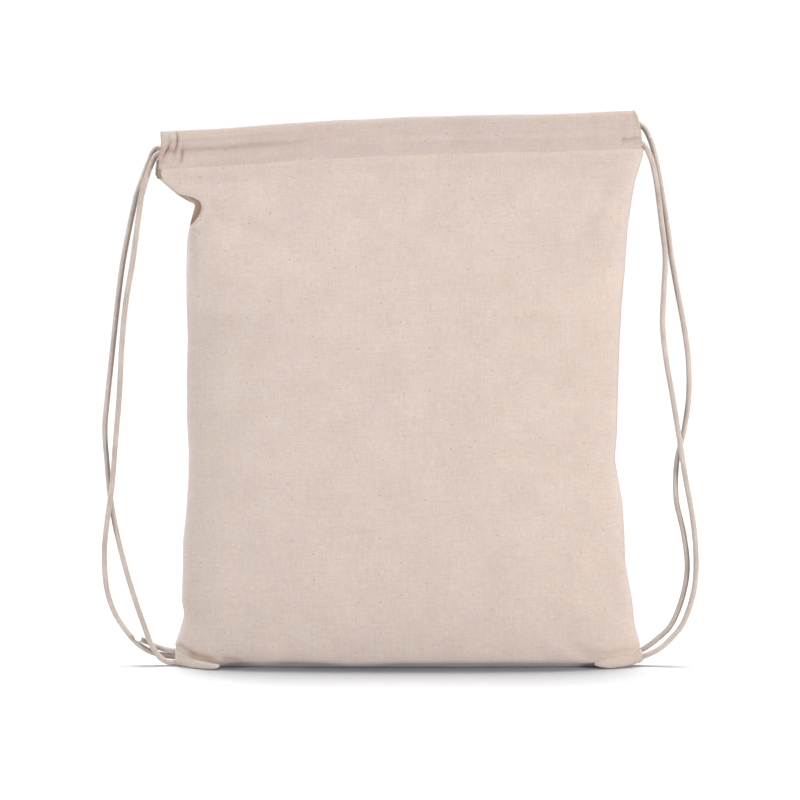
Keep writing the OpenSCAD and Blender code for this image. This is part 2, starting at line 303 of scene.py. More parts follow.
def tube_faces(count, around):
    """Walls of a tube of count rings, and the fans that close it to a middle point of each end."""
    index = np.arange(count * around).reshape(count, around)
    after = np.roll(index, -1, axis=1)
    walls = np.stack([index[:-1], after[:-1], after[1:], index[1:]], -1).reshape(-1, 4).tolist()
    first, last = count * around, count * around + 1
    caps = [(first, int(after[0, k]), int(index[0, k])) for k in range(around)]
    caps += [(last, int(index[-1, k]), int(after[-1, k])) for k in range(around)]
    return walls, caps


def tube_mesh(name, path, radius, around, material, relief):
    """A closed tube along path; radius is one number or one for each ring, to which relief(s, angle) adds."""
    path = np.asarray(path, float)
    count = len(path)
    tangent = unit_tangents(path)
    normal = np.zeros_like(path)
    seed = np.array([0, 1, 0]) if abs(tangent[0][1]) < 0.9 else np.array([1, 0, 0])
    normal[0] = seed - tangent[0] * np.dot(seed, tangent[0])
    for i in range(1, count):
        carried = normal[i - 1] - tangent[i] * np.dot(normal[i - 1], tangent[i])
        normal[i] = carried / np.linalg.norm(carried)
    normal[0] /= np.linalg.norm(normal[0])
    run = run_along(path)
    angle = np.linspace(0, 2 * math.pi, around, endpoint=False)
    r = np.asarray(radius, float).reshape(-1, 1) + relief(run[:, None], angle[None, :])
    rings = rings_round(path, normal, np.cross(tangent, normal), r, angle)
    verts = np.concatenate([rings.reshape(-1, 3), path[:1], path[-1:]])
    walls, caps = tube_faces(count, around)
    smooth = [True] * len(walls) + [False] * len(caps)
    turn = np.broadcast_to(angle[None, :] / (2 * math.pi), (count, around))
    along = np.broadcast_to(run[:, None] * MM, (count, around))
    uv = np.stack([turn, along], -1).reshape(-1, 2)
    uv = np.concatenate([uv, [[0, 0]], [[0, run[-1] * MM]]])
    return make_object(name, verts, walls + caps, smooth, material, uv)


# ---------- materials ----------

# Colour of the painted shade that the mesh's fold attribute mixes into the cloth
PAINTED_SHADE_COLOUR = (0.27, 0.155, 0.090)
FLECK_COLOUR = (0.17, 0.095, 0.055)
SHEEN_COLOUR = (0.82, 0.90, 1.0)


class Graph:
    """The nodes of one material, with short ways to add to them. Values are numbers, colours or outputs."""

    def __init__(self, name):
        self.material = bpy.data.materials.new(name)
        self.material.use_nodes = True
        self.nodes, self.links = self.material.node_tree.nodes, self.material.node_tree.links
        self.shader = self.nodes["Principled BSDF"].inputs

    def put(self, value, socket):
        if isinstance(value, (int, float)):
            socket.default_value = value
        elif isinstance(value, tuple):
            socket.default_value = (*value, 1)
        else:
            self.links.new(value, socket)

    def made(self, kind, **inputs):
        """A new node with values on its inputs; an underscore stands for a space."""
        new = self.nodes.new(kind)
        for name, value in inputs.items():
            self.put(value, new.inputs[name.replace("_", " ")])
        return new

    def shine(self, **inputs):
        for name, value in inputs.items():
            self.put(value, self.shader[name.replace("_", " ")])

    def cloth_place(self):
        """Where a point lies on the flat cloth or on the unrolled cord."""
        new = self.nodes.new("ShaderNodeUVMap")
        new.uv_map = "cloth"
        return new.outputs[0]

    def solid_place(self):
        return self.nodes.new("ShaderNodeTexCoord").outputs["Object"]

    def maths(self, operation, a, b=None):
        new = self.nodes.new("ShaderNodeMath")
        new.operation = operation
        self.put(a, new.inputs[0])
        if b is not None:
            self.put(b, new.inputs[1])
        return new.outputs[0]

    def total(self, *parts):
        """Sum of parts, each a value and its weight."""
        out = None
        for value, weight in parts:
            term = value if weight == 1 else self.maths("MULTIPLY", value, weight)
            out = term if out is None else self.maths("ADD", out, term)
        return out

    def noise(self, place, scale, detail=2.0, stretch=(1, 1, 1)):
        """Noise over the place, stretched; about 0.5 in the mean."""
        mapping = self.made("ShaderNodeMapping", Vector=place)
        mapping.inputs["Scale"].default_value = stretch
        new = self.made("ShaderNodeTexNoise", Vector=mapping.outputs[0], Scale=scale, Detail=detail)
        return new.outputs["Fac"]

    def mix(self, factor, low, high, blend_type="MIX"):
        new = self.nodes.new("ShaderNodeMix")
        new.data_type = "RGBA"
        new.blend_type = blend_type
        for socket, value in ((new.inputs[0], factor), (new.inputs[6], low), (new.inputs[7], high)):
            self.put(value, socket)
        return new.outputs[2]

    def spread(self, value, low, high):
        """Maps value from low..high to 0..1, clamped."""
        return self.made("ShaderNodeMapRange", Value=value, From_Min=low, From_Max=high).outputs[0]

    def colour(self, value, low, high):
        self.put(self.mix(value, low, high), self.shader["Base Color"])

    def roughness(self, value, low, high):
        self.put(self.mix(value, (low,) * 3, (high,) * 3), self.shader["Roughness"])

    def bump(self, height, strength, distance):
        """Bumps the surface by a height; the distance is in millimetres."""
        new = self.made("ShaderNodeBump", Height=height, Strength=strength, Distance=distance * MM)
        self.put(new.outputs[0], self.shader["Normal"])


def seed_flecks(g, place):
    """1 in the seed flecks of unbleached cotton, 0 elsewhere."""
    cells_per_metre, share, rim, core, strength = 60, 0.30, 0.036, 0.012, 0.75
    cells = g.nodes.new("ShaderNodeTexVoronoi")
    cells.voronoi_dimensions = "2D"
    g.put(cells_per_metre, cells.inputs["Scale"])
    g.put(place, cells.inputs["Vector"])
    channel = g.nodes.new("ShaderNodeSeparateColor")
    g.put(cells.outputs["Color"], channel.inputs[0])
    chosen = g.maths("LESS_THAN", channel.outputs[0], share)
    near = g.spread(cells.outputs["Distance"], rim, core)
    return g.maths("MULTIPLY", g.maths("MULTIPLY", chosen, near), strength)


def cloth_material(name, pale, dark, fleck=FLECK_COLOUR, sheen=0.42):
    """Plain-weave unbleached cotton: threads, slubs, seed flecks and uneven tone, with painted shade mixed in
    where the mesh's fold attribute says.
    """
    g = Graph(name)
    g.shine(Sheen_Weight=sheen, Sheen_Roughness=0.45, Sheen_Tint=SHEEN_COLOUR, Specular_IOR_Level=0.22)
    place = g.cloth_place()
    ways = g.made("ShaderNodeSeparateXYZ", Vector=place).outputs
    thread = 2 * math.pi / (WEAVE_PITCH * MM)
    sway = g.maths("MULTIPLY", g.noise(place, 300), 7.0)
    warp, weft = (g.maths("SINE", g.maths("ADD", g.maths("MULTIPLY", ways[k], thread), sway)) for k in (0, 1))
    weave = g.maths("MULTIPLY", warp, weft)
    slub = g.total((g.noise(place, 1500, 2, (1, 0.11, 1)), 1), (g.noise(place, 1500, 2, (0.11, 1, 1)), 1))
    broad = g.total((g.noise(place, 480, 2, (1, 0.07, 1)), 1), (g.noise(place, 480, 2, (0.09, 1, 1)), 1))
    blotches = g.noise(place, 34, 3)
    fine = g.noise(place, 900, 3)
    tone = g.total((slub, 0.36), (broad, 0.15), (blotches, 0.24), (fine, 0.30))
    colour = g.mix(g.spread(tone, 0.58, 1.00), dark, pale)
    hue = g.spread(g.noise(place, 60, 3), 0.35, 0.65)
    colour = g.mix(1.0, colour, g.mix(hue, (1.0, 0.985, 0.965), (0.985, 0.995, 1.0)), "MULTIPLY")
    colour = g.mix(seed_flecks(g, place), colour, fleck)
    # Painted shade: the fold attribute darkens the colour towards brown in folds, creases, the tuck and along
    # edges
    fold = g.nodes.new("ShaderNodeAttribute")
    fold.attribute_name = "fold"
    g.colour(fold.outputs["Fac"], colour, PAINTED_SHADE_COLOUR)
    g.bump(g.total((weave, 0.15), (slub, 1), (broad, 0.6)), 0.5, 0.16)
    g.roughness(fine, 0.86, 1.0)
    return g.material


def cord_material(name, pale, dark):
    """Braided cotton: yarns along each strand, with painted shade between strands."""
    g = Graph(name)
    g.shine(Sheen_Weight=0.2, Sheen_Roughness=0.5, Specular_IOR_Level=0.2)
    ways = g.made("ShaderNodeSeparateXYZ", Vector=g.cloth_place()).outputs
    around = g.maths("MULTIPLY", ways[0], 2 * math.pi * STRANDS)
    along = g.maths("MULTIPLY", ways[1], 2 * math.pi / (STRAND_STEP * MM))
    one, other = (g.maths("SINE", g.maths(way, around, along)) for way in ("ADD", "SUBTRACT"))
    braid = g.maths("MULTIPLY", one, other)
    fibre = g.noise(g.solid_place(), 2600, 3, (1, 1, 0.35))
    # The braid term darkens the tone in a pattern across the strands: painted shade
    tone = g.total((fibre, 0.55), (g.noise(g.solid_place(), 60, 3), 0.45), (braid, 0.10))
    g.colour(g.spread(tone, 0.25, 0.75), dark, pale)
    g.bump(g.total((fibre, 1), (braid, 0.3)), 0.6, 0.15)
    g.roughness(fibre, 0.85, 1.0)
    return g.material


def thread_material(name, pale, dark):
    """Twisted sewing thread."""
    g = Graph(name)
    g.shine(Sheen_Weight=0.15)
    place = g.solid_place()
    fibre = g.noise(place, 3200, 3)
    tone = g.total((fibre, 0.6), (g.noise(place, 140), 0.4))
    g.colour(g.spread(tone, 0.3, 0.7), dark, pale)
    g.bump(fibre, 0.5, 0.1)
    g.roughness(fibre, 0.6, 0.85)
    return g.material


# ---------- cords ----------

def braid_relief(s, angle):
    """Over-and-under strands of a round braid, in millimetres."""
    a = STRANDS * angle / (2 * math.pi) + s / STRAND_STEP
    b = STRANDS * angle / (2 * math.pi) - s / STRAND_STEP
    cell = (np.floor(a) + np.floor(b)) % 4
    over = cell < 2
    across = np.where(over, a, b) % 1
    lengthwise = np.where(over, cell + b % 1, cell - 2 + a % 1) / 2
    crown = np.sin(math.pi * across) ** 0.7 * (0.45 + 0.55 * np.sin(math.pi * lengthwise) ** 0.6)
    return BRAID_HEIGHT * (crown - 0.6)


def cord_piece(name, route, body, replaced, material):
    ring_spacing, around = 0.45, 40
    path = spline(route, ring_spacing)
    obj = tube_mesh(name, path, CORD_D / 2, around, material, braid_relief)
    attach(obj, body)
    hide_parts(replaced)


def lead_route(start, end, side, up, bend):
    """Along a casing from start to end, and out through the bend; side is -1 in front and 1 at the back."""
    inside = [casing_point(a, side * CASING_Y, up) for a in np.linspace(start, end, 12)]
    return inside + [np.array(p, float) for p in bend]


def turn_route(along, way, front_up, back_up):
    """Half loop between the casings; way is 1 where it bulges to the right."""
    radius = math.hypot(CASING_Y, (back_up - front_up) / 2)
    lean = math.atan2(back_up - front_up, 2 * CASING_Y)
    stub = 2.6
    turns = np.linspace(-math.pi / 2, math.pi / 2, 13)
    flat = [(-way * stub, -radius), (-way * stub / 2, -radius)]
    flat += [(way * radius * math.cos(t), radius * math.sin(t)) for t in turns]
    flat += [(-way * stub / 2, radius), (-way * stub, radius)]
    middle = (front_up + back_up) / 2
    return [casing_point(along + a, b * math.cos(lean), middle + b * math.sin(lean)) for a, b in flat]


def make_cords(material, tip_material):
    runs = (
        ("left", "front", LEFT_FRONT_RUN), ("left", "back", LEFT_BACK_RUN),
        ("right", "front", RIGHT_FRONT_RUN), ("right", "back", RIGHT_BACK_RUN),
    )
    for hand, face, route in runs:
        cord_piece(f"strap_{hand}_{face}", route, f"{hand}_strap", f"{hand}_strap_{face}_run", material)
    leads = (
        ("left", "front", 0.0, LEAD_STOP, -1, LEFT_FRONT_UP, LEFT_FRONT_BEND),
        ("left", "back", 0.0, LEAD_STOP, 1, LEFT_BACK_UP, LEFT_BACK_BEND),
        ("right", "front", CASING_LEN, RIGHT_LEAD_STOP, -1, RIGHT_FRONT_UP, RIGHT_FRONT_BEND),
        ("right", "back", CASING_LEN, RIGHT_LEAD_STOP, 1, RIGHT_BACK_UP, RIGHT_BACK_BEND),
    )
    for hand, face, end, start, side, up, bend in leads:
        route = lead_route(start, end, side, up, bend)
        cord_piece(f"lead_{hand}_{face}", route, "bag", f"{hand}_cord_{face}_lead", material)
    cord_piece("turn_left_cord", turn_route(LEFT_TURN_ALONG, 1, LEFT_FRONT_UP, LEFT_BACK_UP),
               "right_mouth_end", "left_cord_turn", material)
    cord_piece("turn_right_cord", turn_route(RIGHT_TURN_ALONG, -1, RIGHT_FRONT_UP, RIGHT_BACK_UP),
               "left_mouth_end", "right_cord_turn", material)
    tip_path = spline(TIP, 0.3)
    share = np.linspace(0, 1, len(tip_path))
    radius = TIP_D / 2 * np.sqrt(np.clip(1 - share ** 6, 0.02, 1)) * (0.9 + 0.1 * np.sin(share * math.pi))
    tip = tube_mesh("cord_tip", tip_path, radius, 28, tip_material,
                    lambda s, angle: 0.10 * np.sin(3 * angle + 2 * s))
    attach(tip, "left_strap")
    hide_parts("left_cord_tip")
    cord_piece("cord_tail", TAIL, "left_strap", "left_cord_tail", material)


# ---------- cloth walls ----------

def wall_rows(count):
    """Rows of a wall from the base's middle line to the hem stitches: left z, right z, half depth. They lie
    closer together round the tuck at the upper left and in the foot."""
    table = spline(ROWS, 0.4)
    run = run_along(np.stack([(table[:, 0] + table[:, 1]) / 2, table[:, 2]], 1))
    fine = np.linspace(0, run[-1], 4000)
    left_z = np.interp(fine, run, table[:, 0])
    weight = 1 + 2.2 * hump(left_z, 350, 16) + 1.0 * (left_z < 22)
    share = np.concatenate([[0], np.cumsum((weight[1:] + weight[:-1]) / 2)])
    even = np.interp(np.linspace(0, share[-1], count), share, fine)
    return resampled(table, run, even), even


def boxiness(z):
    """How square the walls are in plan at a height: a low number is round, a high one square."""
    return 3.0 + 24 * between(z, 262, 336) + 14 * between(z, 352, 366)


def plump(u, power):
    """Share of the full depth at u, which is 0 at the left edge and 1 at the right."""
    return (1 - np.abs(2 * u - 1) ** power) ** (1 / 1.8)


# The edge of the fold in front of the tuck at the upper left: z, x
NOTCH_LIP = [
    (322, -166), (327, -157.6), (333, -151.4), (338, -148.0), (343, -146.6), (347, -148.0), (350, -153.0),
    (353, -163),
]


def fold_frame(x, z, start, end):
    """Distance along and across the line from start to end."""
    direction = np.array(end) - np.array(start)
    direction = direction / np.linalg.norm(direction)
    dx, dz = x - start[0], z - start[1]
    return dx * direction[0] + dz * direction[1], dz * direction[0] - dx * direction[1]


def soft_fold(x, z, start, end, width, fade):
    """1 along the line from start to end, fading across it and past its ends."""
    along, across = fold_frame(x, z, start, end)
    length = math.dist(start, end)
    past_end = between(along, length - fade, length + fade)
    return hump(across, 0, width) * between(along, -fade, fade * 0.4) * (1 - past_end)


# Soft folds of each wall: start, end, depth (negative inwards), width, fade
FRONT_FOLDS = [
    ((150.5, 359.0), (129.0, 317.0), -2.4, 8.0, 14.0), ((139.0, 356.0), (116.0, 318.0), 1.2, 8.0, 14.0),
    ((140.0, 7.0), (117.0, 30.0), -2.2, 6.0, 10.0), ((131.0, 3.0), (104.0, 26.0), 1.0, 8.0, 10.0),
    ((-147.0, 343.0), (-94.0, 318.0), -1.7, 8.0, 16.0), ((-143.0, 357.0), (-100.0, 338.0), 1.1, 9.0, 14.0),
    ((-150.0, 330.0), (-140.0, 268.0), -1.1, 9.0, 18.0), ((-154.0, 14.0), (-112.0, 44.0), -1.4, 8.0, 12.0),
    ((-150.0, 6.0), (-96.0, 16.0), 0.9, 6.0, 10.0), ((146.0, 170.0), (120.0, 120.0), -0.7, 12.0, 20.0),
    ((-146.0, 150.0), (-110.0, 96.0), -0.6, 14.0, 20.0),
]
BACK_FOLDS = [
    ((-140.0, 352.0), (-104.0, 300.0), -2.6, 8.0, 14.0), ((-128.0, 352.0), (-92.0, 306.0), 1.2, 8.0, 14.0),
    ((150.0, 350.0), (120.0, 312.0), -2.2, 7.0, 14.0), ((150.0, 8.0), (112.0, 44.0), -2.0, 8.0, 12.0),
    ((-146.0, 8.0), (-112.0, 38.0), -2.0, 8.0, 12.0), ((140.0, 200.0), (110.0, 140.0), -0.8, 13.0, 20.0),
]


def folds(x, z, side):
    """Folds and creases of a wall, outwards, in millimetres."""
    out = 0.22 * hump(x, CREASE_X, 3.5)
    if side < 0:
        out = out + 0.2 * hump(x, -16, 2.6) * (1 - between(z, 20, 90))
    for start, end, depth, width, fade in FRONT_FOLDS if side < 0 else BACK_FOLDS:
        out = out + depth * soft_fold(x, z, start, end, width, fade)
    return out


def uneven(x, z, side):
    """Soft unevenness of filled cloth, in millimetres."""
    seed = 11 if side < 0 else 31
    out = 1.7 * smooth_noise(x / 95 + 20, z / 120 + 20, seed)
    out += 0.8 * smooth_noise(x / 42 + 20, z / 64 + 20, seed + 1)
    out += 0.22 * smooth_noise(x / 17 + 30, z / 26 + 30, seed + 2)
    return out


def hem_height(x):
    """Height of the casings' lower edge at x."""
    c, s = math.cos(CASING_RISE), math.sin(CASING_RISE)
    along = (x - CASING_START[0] - CASING_HALF_H * s) / c
    return CASING_START[2] + along * s - CASING_HALF_H * c


# Painted shade along the front wall's folds at the lower corners: strength, start, end, width, fade
CORNER_SHADES = [
    (0.62, (-156.0, 10.8), (-138.5, 8.0), 2.2, 5.0), (0.5, (-131.0, 9.0), (-118.0, 8.0), 1.8, 3.5),
    (0.45, (-166.0, 17.8), (-153.0, 11.4), 1.8, 4.0), (0.2, (150.0, 12.5), (178.0, 15.0), 2.0, 6.0),
]


def front_details(x, z, from_edge, reach):
    """The tuck at the upper left, with its lip, and the painted shade at the front wall's edges, in the tuck
    and along its corner folds.
    """
    lip = along_table(NOTCH_LIP, z)
    tuck = between(z, 324, 331) * (1 - between(z, 350.5, 355))
    behind = between(lip - x, -1.0, 1.4) * tuck
    reach = reach + 1.8 * hump(x, lip + 2.5, 3.5) * tuck
    reach = reach - 0.95 * behind * reach
    # Painted shade in the tuck behind its lip
    shade = 0.80 * between(lip - x, -0.6, 1.0) * (1 - 0.9 * between(lip - x, 2.4, 7.0)) * tuck
    # Painted shade: a dark strip along the edge over the tuck
    over_tuck = between(z, 346.5, 349) * (1 - between(z, 374, 378)) * (x < 0)
    shade = shade + 0.55 * (1 - between(from_edge, 1.4, 3.6)) * over_tuck
    for strength, start, end, width, fade in CORNER_SHADES:
        shade = shade + strength * soft_fold(x, z, start, end, width, fade)
    return reach, shade


def wall_grid(side, half):
    """A quarter of the bag's wall: outer points in millimetres, flat coordinates in metres, and painted
    shade.
    """
    row_count, column_count, crowding = 300, 140, 1.7
    rows, run = wall_rows(row_count)
    zl, zr, depth = (rows[:, k][:, None] for k in range(3))
    run = run[:, None]
    t = np.linspace(0, 1, column_count)[None, :]
    left = softened(LEFT_SIDE, zl, 0.9)
    right = softened(RIGHT_SIDE, zr, 2.5)
    if half == "left":
        x = left + (CREASE_X - left) * t ** crowding
    else:
        x = CREASE_X + (right - CREASE_X) * (1 - (1 - t) ** crowding)
    u = (x - left) / (right - left)
    top_left, top_right = rows[-1, 0], rows[-1, 1]
    hem = hem_height(x) + along_table(MOUTH_ARCH, x)
    z = zl + (zr - zl) * u
    z = z + between(zl, 330, top_left) * (hem - (top_left + (top_right - top_left) * u))
    z = z + along_table(BASE_LIFT, x) * (1 - between(z, 4, 40)) * between(depth, 6, 24)
    profile = plump(u, boxiness(z))
    reach = depth * profile
    from_edge = np.minimum(x - left, right - x)
    bumps = folds(x, z, side) * between(from_edge, 0, 14) * between(run, 24, 40)
    bumps = bumps + uneven(x, z, side) * between(from_edge, 0, 22) * between(run, 26, 60)
    reach = reach + bumps * (1 - between(z, 350, 371))
    puckers = 0.55 * smooth_noise(z / 6.5 + 10, np.sign(x) * 3 + 10, 7) * hump(from_edge, 7, 6)
    reach = reach + puckers * between(run, 30, 60) * np.minimum(reach / 8, 1)
    flush = between(zl, 358, top_left - 0.5)
    reach = reach + flush * ((CASING_Y + HEM_REACH) * profile ** 0.35 - reach)
    shade = 0.0
    if side < 0:
        reach, shade = front_details(x, z, from_edge, reach)
    # Painted shade: a thin dark strip along the wall's side edges
    shade = shade + 0.36 * (1 - between(from_edge, 0.3, 2.0)) * between(run, 40, 60)
    flat = np.stack(np.broadcast_arrays(x * MM, run * MM + (BACK_CLOTH_OFFSET if side > 0 else 0.0)), -1)
    return np.stack(np.broadcast_arrays(x, side * reach, z), -1), flat, np.clip(shade, 0, 1)


def follow_mouth(obj):
    """Bakes the piece's placement into its mesh."""
    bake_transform(obj)


def make_walls(material):
    for side, face in ((-1, "front"), (1, "back")):
        for half in ("left", "right"):
            grid, flat, shade = wall_grid(side, half)
            name = f"{face}_wall_{half}"
            obj = sheet_mesh(name, grid, flat, CLOTH_T, -side, material, shade)
            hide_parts(f"{face}_panel")
            follow_mouth(obj)


# ---------- casings ----------

def casing_end(up, way):
    """Where a casing ends along its axis at a height; way is -1 on the left and 1 on the right."""
    if way < 0:
        return np.interp(up, [-14, -9, -4, 1, 6, 14], [-2.2, -2.0, -0.5, 1.0, 1.9, 1.7])
    return np.interp(up, [-14, -6, 2, 8, 11, 14], [356.8, 356.6, 355.8, 354.6, 353.9, 352.4])


def casing_profile(count):
    """Section of a casing from the outer hem stitches over the top fold to the inner ones: how far it is
    outwards from the middle plane, and its height."""
    corners = [
        (3.1, -14.0), (3.2, -13.2), (3.4, -12.0), (3.5, -8.0), (3.45, -3.0), (3.5, 1.0), (3.3, 5.0),
        (2.8, 9.0), (1.9, 12.2), (1.1, 13.6), (0.2, 14.1), (-0.8, 13.7), (-1.5, 12.4), (-2.5, 8.0),
        (-3.2, 3.0), (-3.3, -3.0), (-3.3, -9.0), (-2.4, -11.8), (0.4, -13.2), (1.9, -14.0),
    ]
    line = spline([(a, 0.0, b) for a, b in corners], 0.5)
    run = np.linspace(0, 1, count)
    share = np.linspace(0, 1, len(line))
    return np.interp(run, share, line[:, 0]), np.interp(run, share, line[:, 2])


# Puckers at the ends of a casing: place along it at the top and lower down, height, width, and how far up the
# casing each is deepest, with its reach
LEFT_PUCKERS = [
    (6.8, 4.2, -1.5, 1.2, -1.0, 8.0), (9.4, 8.2, 1.1, 1.6, 1.0, 12.0), (11.6, 11.9, -1.4, 1.1, 6.0, 9.0),
    (14.4, 14.6, 0.6, 1.5, -3.0, 9.0), (16.6, 17.4, -1.4, 1.3, -5.0, 7.0),
]
RIGHT_PUCKERS = [
    (3.5, 5.5, -0.3, 1.8, -2.0, 12.0), (7.5, 9.5, 0.25, 2.2, -2.0, 12.0), (13.0, 15.0, -0.2, 2.6, -2.0, 12.0),
]


def puckers_at(from_end, up, table):
    """Height of the gathers next to a casing's end, and the painted shade in their valleys."""
    height = shade = np.zeros(from_end.shape)
    for top, low, size, width, deepest, reach in table:
        middle = low + (top - low) * between(up, -9, 12) + 0.6 * np.sin(up / 3.1 + top)
        strength = size * hump(up, deepest, reach)
        height = height + strength * hump(from_end, middle, width)
        # Painted shade in the valleys of the puckers
        shade = shade - np.minimum(strength, 0) * 0.30 * hump(from_end, middle, width * 0.8)
    fade = between(up, -13, -8)
    return height * fade, shade * fade


def casing_grid(side, half):
    """Half of a casing: outer points in millimetres, flat coordinates in metres, and painted shade."""
    row_count, column_count, crowding = 96, 210, 1.35
    out, up = casing_profile(row_count)
    out, up = out[:, None], up[:, None]
    t = np.linspace(0, 1, column_count)[None, :]
    if half == "left":
        start = casing_end(up, -1)
        along = start + (CASING_MIDDLE - start) * t ** crowding
        from_end = along - start
    else:
        end = casing_end(up, 1)
        along = CASING_MIDDLE + (end - CASING_MIDDLE) * (1 - (1 - t) ** crowding)
        from_end = end - along
    outer = between(out, -0.5, 1.5)
    left_part = 1 - between(along, 60, 150)
    over_hem = between(up, -14, -11)
    ridge = (0.9 * hump(up, -4.2, 3.2) - 1.1 * hump(up, 1.0, 2.8) + 0.5 * hump(up, 6.5, 3.4)) * left_part
    ridge = ridge + (0.5 * hump(up, 1.0, 3.0) - 0.25 * hump(up, -4.5, 3.0)) * (1 - left_part)
    wave = 0.45 * smooth_noise(along / 34 + 5, up / 14 + 5 + side, 21 if side < 0 else 22)
    wave = wave + 0.16 * smooth_noise(along / 6 + 5, up / 9 + 5, 23)
    gather, gather_shade = puckers_at(from_end, up, LEFT_PUCKERS if half == "left" else RIGHT_PUCKERS)
    rolled = 0.5 * hump(from_end, 1.0, 0.9) * np.sign(out)
    pinch = 1 - 0.22 * hump(from_end, 0, 3) * over_hem
    tack_dip, tack_shade = 0.0, 0.0
    if half == "right" and side < 0:
        crumple = 0.45 * smooth_noise(along / 2.6, up / 3.0, 27) * hump(up, -10.5, 2.6)
        tack_dip = 0.7 * hump(up, -6.5, 1.8) * (1 - between(from_end, 13, 18))
        tack_dip = tack_dip + crumple * (1 - between(from_end, 14, 22))
        # Painted shade: a thin dark line along the tack
        tack_shade = 0.07 * hump(up, -6.8, 0.9) * (1 - between(from_end, 13, 17))
    crease = 0.2 * hump(along, CASING_MIDDLE, 3.5)
    relief = (ridge + wave + crease - tack_dip) * over_hem + gather
    y = side * (CASING_Y + out * pinch + relief * outer + rolled * over_hem)
    c, s = math.cos(CASING_RISE), math.sin(CASING_RISE)
    x = CASING_START[0] + along * c - up * s
    z = CASING_START[2] + along * s + up * c + along_table(MOUTH_ARCH, x)
    z = z + 0.35 * smooth_noise(along / 26 + 3, along * 0 + 2.5, 24) * between(up, -8, 8)
    # Painted shade: in the puckers' valleys, by the right tack, along the top fold and at the casing's ends
    shade = gather_shade * outer + tack_shade * outer
    shade = shade + 0.30 * hump(up, 14.2, 0.9) + 0.22 * (1 - between(from_end, 0.4, 1.8)) * outer
    # Painted shade under the cords' ridge and over the left part of the casings
    shade = shade + (0.04 + 0.16 * hump(up, 0.8, 2.6)) * left_part * outer
    # Painted shade along the left front end and in a spot beside it
    if half == "left" and side < 0:
        shade = shade + 0.45 * (1 - between(from_end, 0.6, 3.4)) * (1 - between(up, -3, 2)) * outer
        shade = shade + 0.35 * hump(from_end, 8.6, 1.4) * hump(up, -1.0, 1.8)
    run = np.linspace(0, 0.066, len(up))[:, None] + CASING_CLOTH_OFFSET
    flat = np.stack(np.broadcast_arrays(x * MM, run + (BACK_CLOTH_OFFSET if side > 0 else 0.0)), -1)
    return np.stack(np.broadcast_arrays(x, y, z), -1), flat, np.clip(shade, 0, 1)


def make_casings(material):
    for side, face in ((-1, "front"), (1, "back")):
        for half in ("left", "right"):
            grid, flat, shade = casing_grid(side, half)
            name = f"{face}_casing_{half}"
            obj = sheet_mesh(name, grid, flat, CLOTH_T, -side, material, shade)
            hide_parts(f"{face}_casing", f"{face}_{half}_cuff")
            follow_mouth(obj)


# ---------- stitches and tacks ----------

def bead(path, radius):
    """Points and faces of a short thread with rounded ends."""
    path = np.asarray(path, float)
    count, around = len(path), 8
    radii = radius * np.sqrt(np.clip(1 - np.linspace(-1, 1, count) ** 4, 0.08, 1))
    tangent = unit_tangents(path)
    off_axis = np.array([0.1, 0.95, 0.2])
    normal = np.cross(tangent, off_axis)
    normal /= np.linalg.norm(normal, axis=1, keepdims=True)
    angle = np.linspace(0, 2 * math.pi, around, endpoint=False)
    rings = rings_round(path, normal, np.cross(tangent, normal), radii[:, None], angle)
    walls, _ = tube_faces(count, around)
    ends = [list(range(around))[::-1], list(range((count - 1) * around, count * around))]
    return rings.reshape(-1, 3), walls + ends


def thread_object(name, paths, radius, material):
    """Many short threads as one piece."""
    verts, faces = [], []
    for path in paths:
        points, rings = bead(path, radius)
        faces += [[i + len(verts) for i in f] for f in rings]
        verts += points.tolist()
    return make_object(name, np.array(verts), faces, np.ones(len(faces), bool), material)


def casing_face_point(along, up, side, proud):
    """A point on a casing's outer face."""
    out, height = casing_profile(84)
    outer = slice(0, 42)
    offset = np.interp(up, height[outer], out[outer])
    point = casing_point(along, side * (CASING_Y + offset + proud), up)
    return point + np.array([0, 0, along_table(MOUTH_ARCH, point[0])])


def make_hem_stitches(material):
    pitch, size, up, radius = 3.1, 2.3, -13.55, 0.17
    for side, face in ((-1, "front"), (1, "back")):
        for half, first, last in (("left", 3.0, CASING_MIDDLE), ("right", CASING_MIDDLE, CASING_LEN + 2)):
            paths = [
                [casing_face_point(a + size * k, up, side, -0.05 + 0.16 * math.sin(math.pi * k))
                 for k in np.linspace(0, 1, 5)]
                for a in np.arange(first + 0.4, last - size, pitch)
            ]
            obj = thread_object(f"{face}_hem_stitches_{half}", paths, radius, material)
            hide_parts(f"{face}_hem_stitch")
            follow_mouth(obj)


def zigzag(line, across, count):
    """Points of a dense zigzag along a line, across wide."""
    middle = resampled(np.array(line, float), np.linspace(0, 1, len(line)), np.linspace(0, 1, count))
    swing = np.where(np.arange(count) % 2, 0.5, -0.5)[:, None]
    return middle + swing * np.array(across, float)


def tack(name, line, across, count, radius, material, body, replaced):
    """A bartack: a dense zigzag of thread along a line."""
    points = zigzag(line, across, count)
    crown = np.array([0, -0.15, 0])
    paths = [spline([a, (a + b) / 2 + crown, b], 0.5) for a, b in zip(points[:-1], points[1:])]
    obj = thread_object(name, paths, radius, material)
    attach(obj, body)
    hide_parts(replaced)


